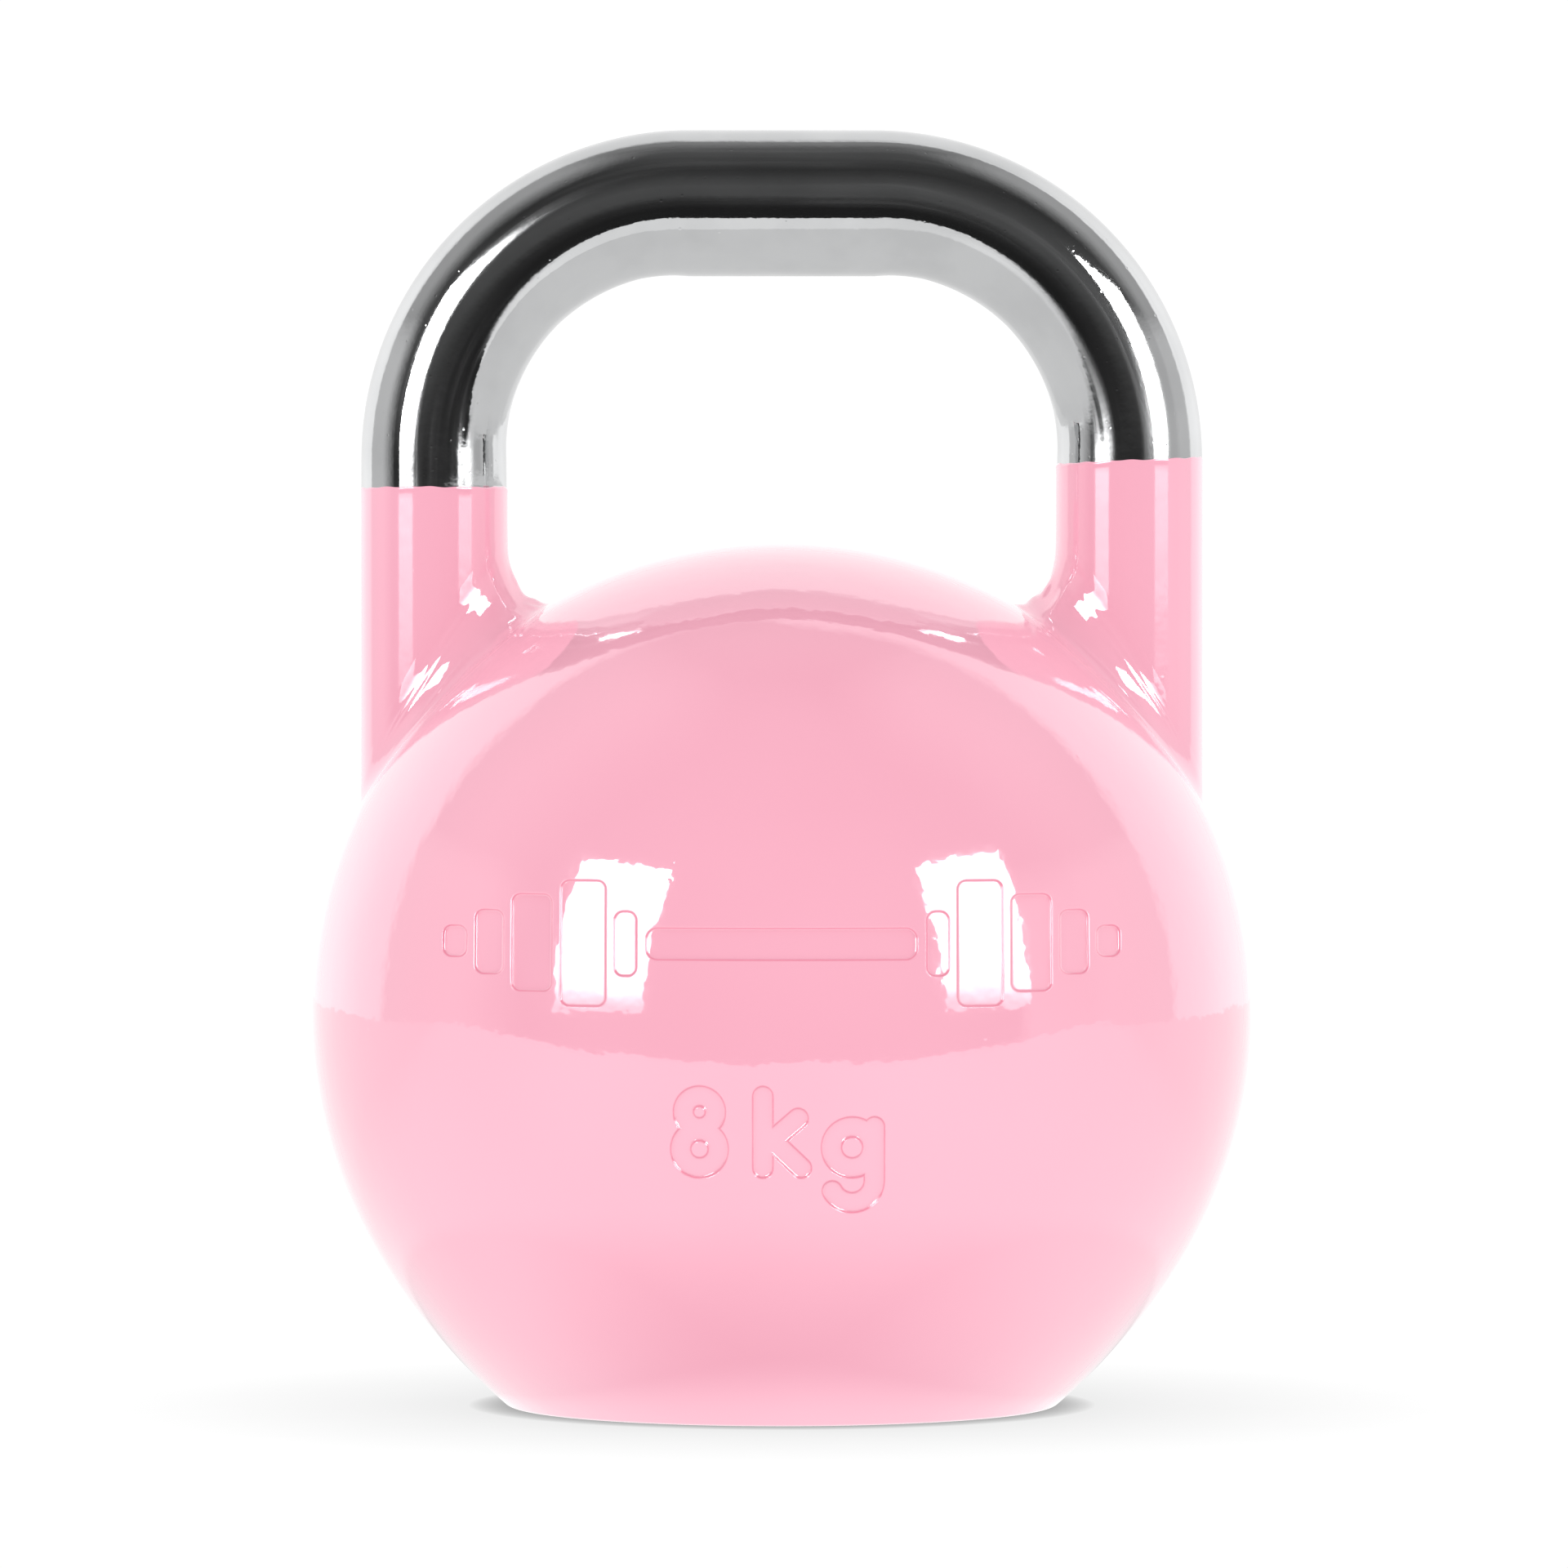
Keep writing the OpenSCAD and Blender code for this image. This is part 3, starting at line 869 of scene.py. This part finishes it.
class Nodes:
    """A short way to write the node tree of a material, a light or the world."""

    def __init__(self, owner):
        owner.use_nodes = True
        self.owner = owner
        self.tree = owner.node_tree
        self.tree.nodes.clear()

    def add(self, kind, settings=None, **inputs):
        """Adds a ShaderNode. settings are its properties, inputs its sockets by name with _ for a space."""
        node = self.tree.nodes.new("ShaderNode" + kind)
        for key, value in (settings or {}).items():
            setattr(node, key, value)
        for key, value in inputs.items():
            self.put(node, key.replace("_", " "), value)
        return node

    def put(self, node, socket, value):
        """Sets a socket to a value, or links it to another node's socket."""
        target = node.inputs[int(socket) if socket.isdigit() else socket]
        if isinstance(value, bpy.types.NodeSocket):
            self.tree.links.new(value, target)
        else:
            target.default_value = value

    def math(self, operation, a, b=0.0):
        """A Math node's result."""
        return self.add("Math", {"operation": operation}, **{"0": a, "1": b}).outputs[0]

    def product(self, first, *others):
        """The product of several values."""
        for other in others:
            first = self.math("MULTIPLY", first, other)
        return first

    def highest(self, first, *others):
        """The highest of several values."""
        for other in others:
            first = self.math("MAXIMUM", first, other)
        return first

    def ramp(self, value, start, end, low=0.0, high=1.0, kind="SMOOTHSTEP"):
        """value mapped from start..end to low..high, smoothly and without going past them."""
        node = self.add("MapRange", {"interpolation_type": kind, "clamp": True}, Value=value)
        for socket, number in (("From Min", start), ("From Max", end), ("To Min", low), ("To Max", high)):
            node.inputs[socket].default_value = number
        return node.outputs[0]

    def noise(self, coordinates, scale, detail=2.0, roughness=0.5):
        """A noise texture's value."""
        node = self.add("TexNoise", Vector=coordinates, Scale=scale, Detail=detail,
                        Roughness=roughness)
        return node.outputs["Fac"]

    def cell_distance(self, coordinates, scale):
        """The distance to the nearest of many scattered points."""
        return self.add("TexVoronoi", Vector=coordinates, Scale=scale).outputs["Distance"]

    def stretched(self, vector, factors):
        """A vector with each of its parts scaled."""
        inputs = {"0": vector, "1": factors}
        return self.add("VectorMath", {"operation": "MULTIPLY"}, **inputs).outputs[0]

    def parts(self, vector):
        """A vector's x, y and z."""
        return self.add("SeparateXYZ", Vector=vector).outputs

    def attribute(self, name, output):
        """A value stored on the mesh."""
        return self.add("Attribute", {"attribute_name": name}).outputs[output]

    def blend(self, share, low, high):
        """A colour between two colours or sockets."""
        node = self.add("Mix", {"data_type": "RGBA"})
        self.put(node, "0", share)
        for socket, colour in (("6", low), ("7", high)):
            self.put(node, socket, colour if isinstance(colour, bpy.types.NodeSocket) else (*colour, 1))
        return node.outputs[2]

    def bump(self, height, distance, below=None):
        """A bump of that height in metres, on top of another one."""
        node = self.add("Bump", Strength=1.0, Distance=distance, Height=height)
        if below is not None:
            self.put(node, "Normal", below)
        return node.outputs[0]

    def shader_mix(self, share, first, second):
        """A mix of two shaders."""
        inputs = {"0": share, "1": first.outputs[0], "2": second.outputs[0]}
        return self.add("MixShader", **inputs)

    def object_space(self):
        """Coordinates in metres, fixed to the object."""
        return self.add("TexCoord").outputs["Object"]

    def surface(self, shader):
        """Closes a material's tree with a surface, and returns the material."""
        self.add("OutputMaterial", Surface=shader.outputs[0])
        return self.owner

    def principled(self, colour, gloss, relief, **inputs):
        """The same with a Principled surface."""
        return self.surface(self.add("BsdfPrincipled", Base_Color=colour, Roughness=gloss, Normal=relief,
                                     **inputs))


def new_material(name):
    """The empty node tree of a new material."""
    return Nodes(bpy.data.materials.new(name))


def pink_paint(name, coat_rough, peel_share):
    """Glossy enamel with an orange peel, long soft waves, a few dust nibs, painted shade along the marks'
    edges and a faint painted glow.
    """
    n = new_material(name)
    at = n.object_space()
    even = n.blend(n.ramp(n.noise(at, 14), 0.35, 0.65), PINK_LOW, PINK_HIGH)
    # Painted shade: the pink is darkened along the marks' sloping edges
    shade_share = n.attribute("edge_shade", "Fac")
    colour = n.blend(n.ramp(shade_share, 0.3, 1.0), even, PINK_EDGE_SHADE)
    peel = n.bump(n.noise(at, 330, 1.0), 0.00003 * peel_share)
    waves = n.bump(n.noise(at, 80, 1.0), 0.00009 * peel_share, peel)
    nibs = n.bump(n.ramp(n.cell_distance(at, 90.0), 0.0, 0.06, 1.0, 0.0), 0.00002, waves)
    gloss = n.ramp(n.noise(at, 45, 3.0), 0.3, 0.7, 0.05, 0.09)
    coat = {"Coat_Weight": 1.0, "Coat_Roughness": coat_rough, "Coat_IOR": 1.6, "Coat_Normal": nibs}
    # Painted light: the enamel glows a little in its own colour, which brightens its shaded parts evenly
    return n.principled(colour, gloss, nibs, IOR=1.5, Emission_Color=colour, Emission_Strength=0.15, **coat)


def chrome_plate():
    """Bright chrome on a bent tube: polishing lines along it, soft waves, bending ripples and pits."""
    n = new_material("chrome_plate")
    at = n.object_space()
    place = n.attribute("tube_place", "Vector")
    lengthwise = n.stretched(place, (0.03, 1.0, 1.0))
    crosswise = n.stretched(place, (1.0, 0.15, 0.15))
    tint = n.blend(n.ramp(n.noise(at, 60, 3.0), 0.35, 0.65), (0.535, 0.54, 0.545), (0.575, 0.58, 0.585))
    lines = n.bump(n.noise(lengthwise, 700, 3.0), 0.000012)
    waves = n.bump(n.noise(lengthwise, 160, 1.0), 0.00008, lines)
    ripples = n.bump(n.noise(crosswise, 170), 0.000025, waves)
    peel = n.bump(n.noise(at, 480), 0.00002, ripples)
    pits = n.bump(n.ramp(n.cell_distance(at, 330.0), 0.0, 0.13), 0.000025, peel)
    gloss = n.ramp(n.noise(lengthwise, 260, 3.0), 0.42, 0.72, 0.05, 0.24)
    return n.principled(tint, gloss, pits, Metallic=1.0)


def bare_metal(name, dark, light, rough, scale):
    """Steel with rolling marks and light tarnish."""
    n = new_material(name)
    at = n.object_space()
    colour = n.blend(n.ramp(n.noise(at, scale, 5.0, 0.6), 0.3, 0.7), dark, light)
    gloss = n.ramp(n.noise(at, 4 * scale, 3.0), 0.3, 0.7, rough, rough + 0.15)
    relief = n.bump(n.noise(at, 12 * scale, 4.0), 0.00004)
    return n.principled(colour, gloss, relief, Metallic=1.0)


def black_rubber():
    """Matte moulded rubber."""
    n = new_material("black_rubber")
    at = n.object_space()
    colour = n.blend(n.noise(at, 300, 3.0), (0.012, 0.012, 0.012), (0.03, 0.03, 0.03))
    relief = n.bump(n.noise(at, 1500), 0.00003)
    gloss = n.ramp(n.noise(at, 200), 0.3, 0.7, 0.55, 0.75)
    return n.principled(colour, gloss, relief)


# ---------------- studio
# The floor's brightness in the open, and how much of it goes where the kettlebell shades it
FLOOR_GLOW = 1.03
FLOOR_SHADE = 0.25
CONTACT_SHADE = 0.42
# How far away the kettlebell still shades the floor, and how far the dark contact line reaches
SHADE_REACH = 0.08
CONTACT_REACH = 0.006
# The soft light on matt surfaces, from straight in front and from straight behind
SOFT_FRONT = 1.13
SOFT_BACK = 0.66
# Brightness of what faces the kettlebell in front, from a little below level to overhead
FRONT_BELOW = -0.2
FRONT_TONES = ((0.0, 0.02), (0.16, 0.035), (0.32, 0.10), (0.50, 0.11), (0.66, 0.08), (0.81, 0.045),
               (0.90, 0.06), (1.0, 0.10))
TABLE_Z = -0.4 * MM
CARD_Z = 208.4 * MM
CARD_SLOPE = 0.045
SOFTBOX_DISTANCE = 3.0
SOFTBOX_RADIANCE = 11.0
CAMERA_PLACE = Vector((0.0005, -2.0, 0.160))
CAMERA_TARGET = Vector((0.0005, 0, 0.139))


def back_tone(n, y, z, reach, on_right):
    """The white backdrop, in a wide cone behind and brightest to the sides, and the ceiling."""
    behind = n.math("ADD", y, n.product(on_right, 0.05))
    backdrop = n.product(n.ramp(behind, 0.33, 0.45), n.ramp(reach, 0.25, 0.75, 1.08, 1.38))
    ceiling = n.product(n.ramp(y, -0.15, 0.30, 0.0, 0.32), n.ramp(z, 0.35, 0.70))
    return n.highest(backdrop, ceiling)


def side_tone(n, y, z, reach, on_right):
    """Grey walls to both sides, a little above level, and shoulders that the handle's bends see."""
    around = n.math("DIVIDE", y, reach)
    up = n.math("DIVIDE", z, reach)
    # The right wall starts further forward
    left_wall = n.ramp(around, -0.55, -0.02, 0.0, 0.78)
    right_wall = n.product(n.ramp(around, -0.62, -0.50, 0.0, 0.66), on_right)
    walls = n.product(n.highest(left_wall, right_wall), n.ramp(up, 0.40, 0.74, 1.0, 0.0))
    high_aside = n.product(n.ramp(reach, 0.0, 0.45), n.ramp(z, 0.10, 0.36))
    shoulders = n.product(n.ramp(y, -0.50, 0.12, 0.0, 0.52), high_aside)
    return n.highest(walls, shoulders)


def front_tone(n, z):
    """The dim room in front, by height."""
    tones = n.add("ValToRGB", Fac=n.ramp(z, FRONT_BELOW, 1.0, kind="LINEAR"))
    stops = tones.color_ramp.elements
    for k, (place, tone) in enumerate(FRONT_TONES):
        stop = stops[k] if k < 2 else stops.new(place)
        stop.position, stop.color = place, (tone, tone, tone, 1)
    return tones.outputs[0]


def white_background(n, strength):
    """A white background shader."""
    return n.add("Background", Color=(1, 1, 1, 1), Strength=strength)


def studio_world():
    """White to the camera, an even soft light to matt surfaces, and a photo studio to glossy ones."""
    world = bpy.data.worlds.new("studio")
    bpy.context.scene.world = world
    n = Nodes(world)
    x, y, z = n.parts(n.add("TexCoord").outputs["Generated"])
    reach = n.math("ABSOLUTE", x)
    on_right = n.ramp(x, -0.05, 0.05)
    back = back_tone(n, y, z, reach, on_right)
    sides = side_tone(n, y, z, reach, on_right)
    studio = white_background(n, n.highest(back, sides, front_tone(n, z)))
    soft = white_background(n, n.ramp(y, -1.0, 1.0, SOFT_FRONT, SOFT_BACK, "LINEAR"))
    white = white_background(n, 1.05)
    rays = n.add("LightPath").outputs
    unseen = n.shader_mix(rays["Is Glossy Ray"], soft, studio)
    full = n.shader_mix(rays["Is Camera Ray"], unseen, white)
    n.add("OutputWorld", Surface=full.outputs[0])


def one_sided(n, strength):
    """A white glow on a sheet's upper face; its underside shows nothing."""
    glow = n.add("Emission", Strength=strength)
    clear = n.add("BsdfTransparent")
    return n.surface(n.shader_mix(n.add("NewGeometry").outputs["Backfacing"], glow, clear))


def table_tone():
    """The floor as gloss sees it: white, brighter to the sides, shaded under the ball's heel."""
    n = new_material("table_tone")
    x, y, _ = n.parts(n.object_space())
    aside = n.math("ABSOLUTE", x)
    away = n.math("SQRT", n.math("ADD", n.product(x, x), n.product(y, y)))
    open_floor = n.ramp(away, 0.072, 0.150)
    hidden_floor = n.ramp(away, 0.062, 0.080, 1.0, 0.0)
    # The dark patch under the heel only lies in front, not to the sides
    beside = n.ramp(n.math("DIVIDE", aside, away), 0.05, 0.95, 0.0, 0.88)
    lit = n.highest(open_floor, hidden_floor, beside)
    sides = n.ramp(aside, 0.0, 0.18, 1.12, 1.22)
    # Dimmer behind, so that the ball's lower rim keeps some colour
    behind = n.ramp(y, -0.08, 0.15, 1.0, 0.82)
    return one_sided(n, n.product(lit, sides, behind))


def floor_white():
    """A white sweep that shows a soft neutral contact shadow, and nothing at all from below."""
    n = new_material("floor_white")
    shades = n.ramp(n.noise(n.object_space(), 30, 2.0), 0.3, 0.7, 0.0, 0.004)
    for reach, depth in ((SHADE_REACH, FLOOR_SHADE), (CONTACT_REACH, CONTACT_SHADE)):
        open_sky = n.add("AmbientOcclusion", {"samples": 16}, Distance=reach).outputs["AO"]
        shades = n.math("ADD", shades, n.ramp(open_sky, 0.0, 1.0, depth, 0.0, "LINEAR"))
    return one_sided(n, n.math("SUBTRACT", FLOOR_GLOW, shades))


def card_white():
    """A pale card that only shows from above: laid over the ball's crown, it keeps the chrome neutral."""
    return one_sided(new_material("card_white"), 0.92)


def hide_from(obj, *rays):
    """Makes an object invisible to these kinds of ray."""
    for kind in rays:
        setattr(obj, "visible_" + kind, False)


def sheet(name, x_half, y_low, y_high, z, material, seen_by_camera):
    """A level staged sheet, for the camera only or for glossy reflections only."""
    corners = [(-x_half, y_low, z), (x_half, y_low, z), (x_half, y_high, z), (-x_half, y_high, z)]
    made = object_from(name, corners, [(0, 1, 2, 3)])
    made.data.materials.append(material)
    hide_from(made, "glossy" if seen_by_camera else "camera", "diffuse", "transmission", "shadow")
    return made


def studio_sheets():
    """The floor as the camera sees it, the floor as gloss sees it, and the card in the handle's window."""
    sheet("floor", 30.0, -30.0, 30.0, 0.0, floor_white(), True)
    sheet("table", 2.5, -0.56, 3.0, TABLE_Z, table_tone(), False)
    card = sheet("window_card", 60 * MM, -70 * MM, 70 * MM, CARD_Z, card_white(), False)
    # It slopes between the two paint lines
    for vertex in card.data.vertices:
        vertex.co.z += CARD_SLOPE * vertex.co.x


def placed(name, data, place, way, axis):
    """An object in the scene at a place, with one of its axes turned that way."""
    made = bpy.data.objects.new(name, data)
    made.location = place
    made.rotation_mode = "QUATERNION"
    made.rotation_quaternion = way.to_track_quat(axis, "Y")
    bpy.context.scene.collection.objects.link(made)
    return made


def softbox(name, azimuth, elevation, width, height):
    """A softbox in front of the kettlebell that only glossy surfaces see, dimmer towards its foot."""
    a, e = math.radians(azimuth), math.radians(elevation)
    way = Vector((math.sin(a) * math.cos(e), -math.cos(a) * math.cos(e), math.sin(e)))
    data = bpy.data.lights.new(name, "AREA")
    data.shape = "RECTANGLE"
    data.size, data.size_y = width, height
    # A watt of an area light gives 1 / (pi * area) of radiance
    data.energy = SOFTBOX_RADIANCE * math.pi * width * height
    n = Nodes(data)
    up_it = n.parts(n.add("NewGeometry").outputs["Parametric"])[1]
    glow = n.add("Emission", Strength=n.ramp(up_it, 0.0, 0.30, 0.18, 1.0))
    n.add("OutputLight", Surface=glow.outputs[0])
    light = placed(name, data, Vector(CENTRE) + SOFTBOX_DISTANCE * way, way, "Z")
    hide_from(light, "camera", "diffuse", "transmission")


def photo_camera():
    """The camera, level with the ball's upper half and two metres in front."""
    data = bpy.data.cameras.new("camera")
    data.sensor_width = 36
    data.lens = 205
    camera = placed("camera", data, CAMERA_PLACE, CAMERA_TARGET - CAMERA_PLACE, "-Z")
    bpy.context.scene.camera = camera


# ---------------- the scene
def build():
    """Makes every piece, then the studio round it."""
    paint = pink_paint("pink_enamel", 0.02, 1.0)
    leg_enamel = pink_paint("pink_enamel_legs", 0.11, 0.35)
    upper_shell(paint)
    lower_shell(paint)
    seam_weld(paint)
    handle_tube(chrome_plate())
    leg_paint(-1, "left_leg_paint", leg_enamel)
    leg_paint(1, "right_leg_paint", leg_enamel)
    leg_weld(-1, "left_leg_weld_painted", "left_leg_weld", paint)
    leg_weld(1, "right_leg_weld_painted", "right_leg_weld", paint)
    base_plate(paint)
    base_weld(paint)
    fill_plug(bare_metal("zinc_steel", (0.42, 0.42, 0.43), (0.62, 0.62, 0.63), 0.28, 40))
    plug_seal(black_rubber())
    ballast(bare_metal("shot_in_resin", (0.05, 0.048, 0.045), (0.16, 0.15, 0.145), 0.5, 120))
    backing_ring(bare_metal("mill_steel", (0.30, 0.29, 0.28), (0.50, 0.49, 0.48), 0.4, 60))
    studio_world()
    studio_sheets()
    softbox("softbox_left", -44.5, 18.1, 1.25, 1.80)
    softbox("softbox_right", 50.5, 18.5, 1.22, 1.76)
    photo_camera()
    bpy.context.scene.view_settings.view_transform = "Standard"


build()
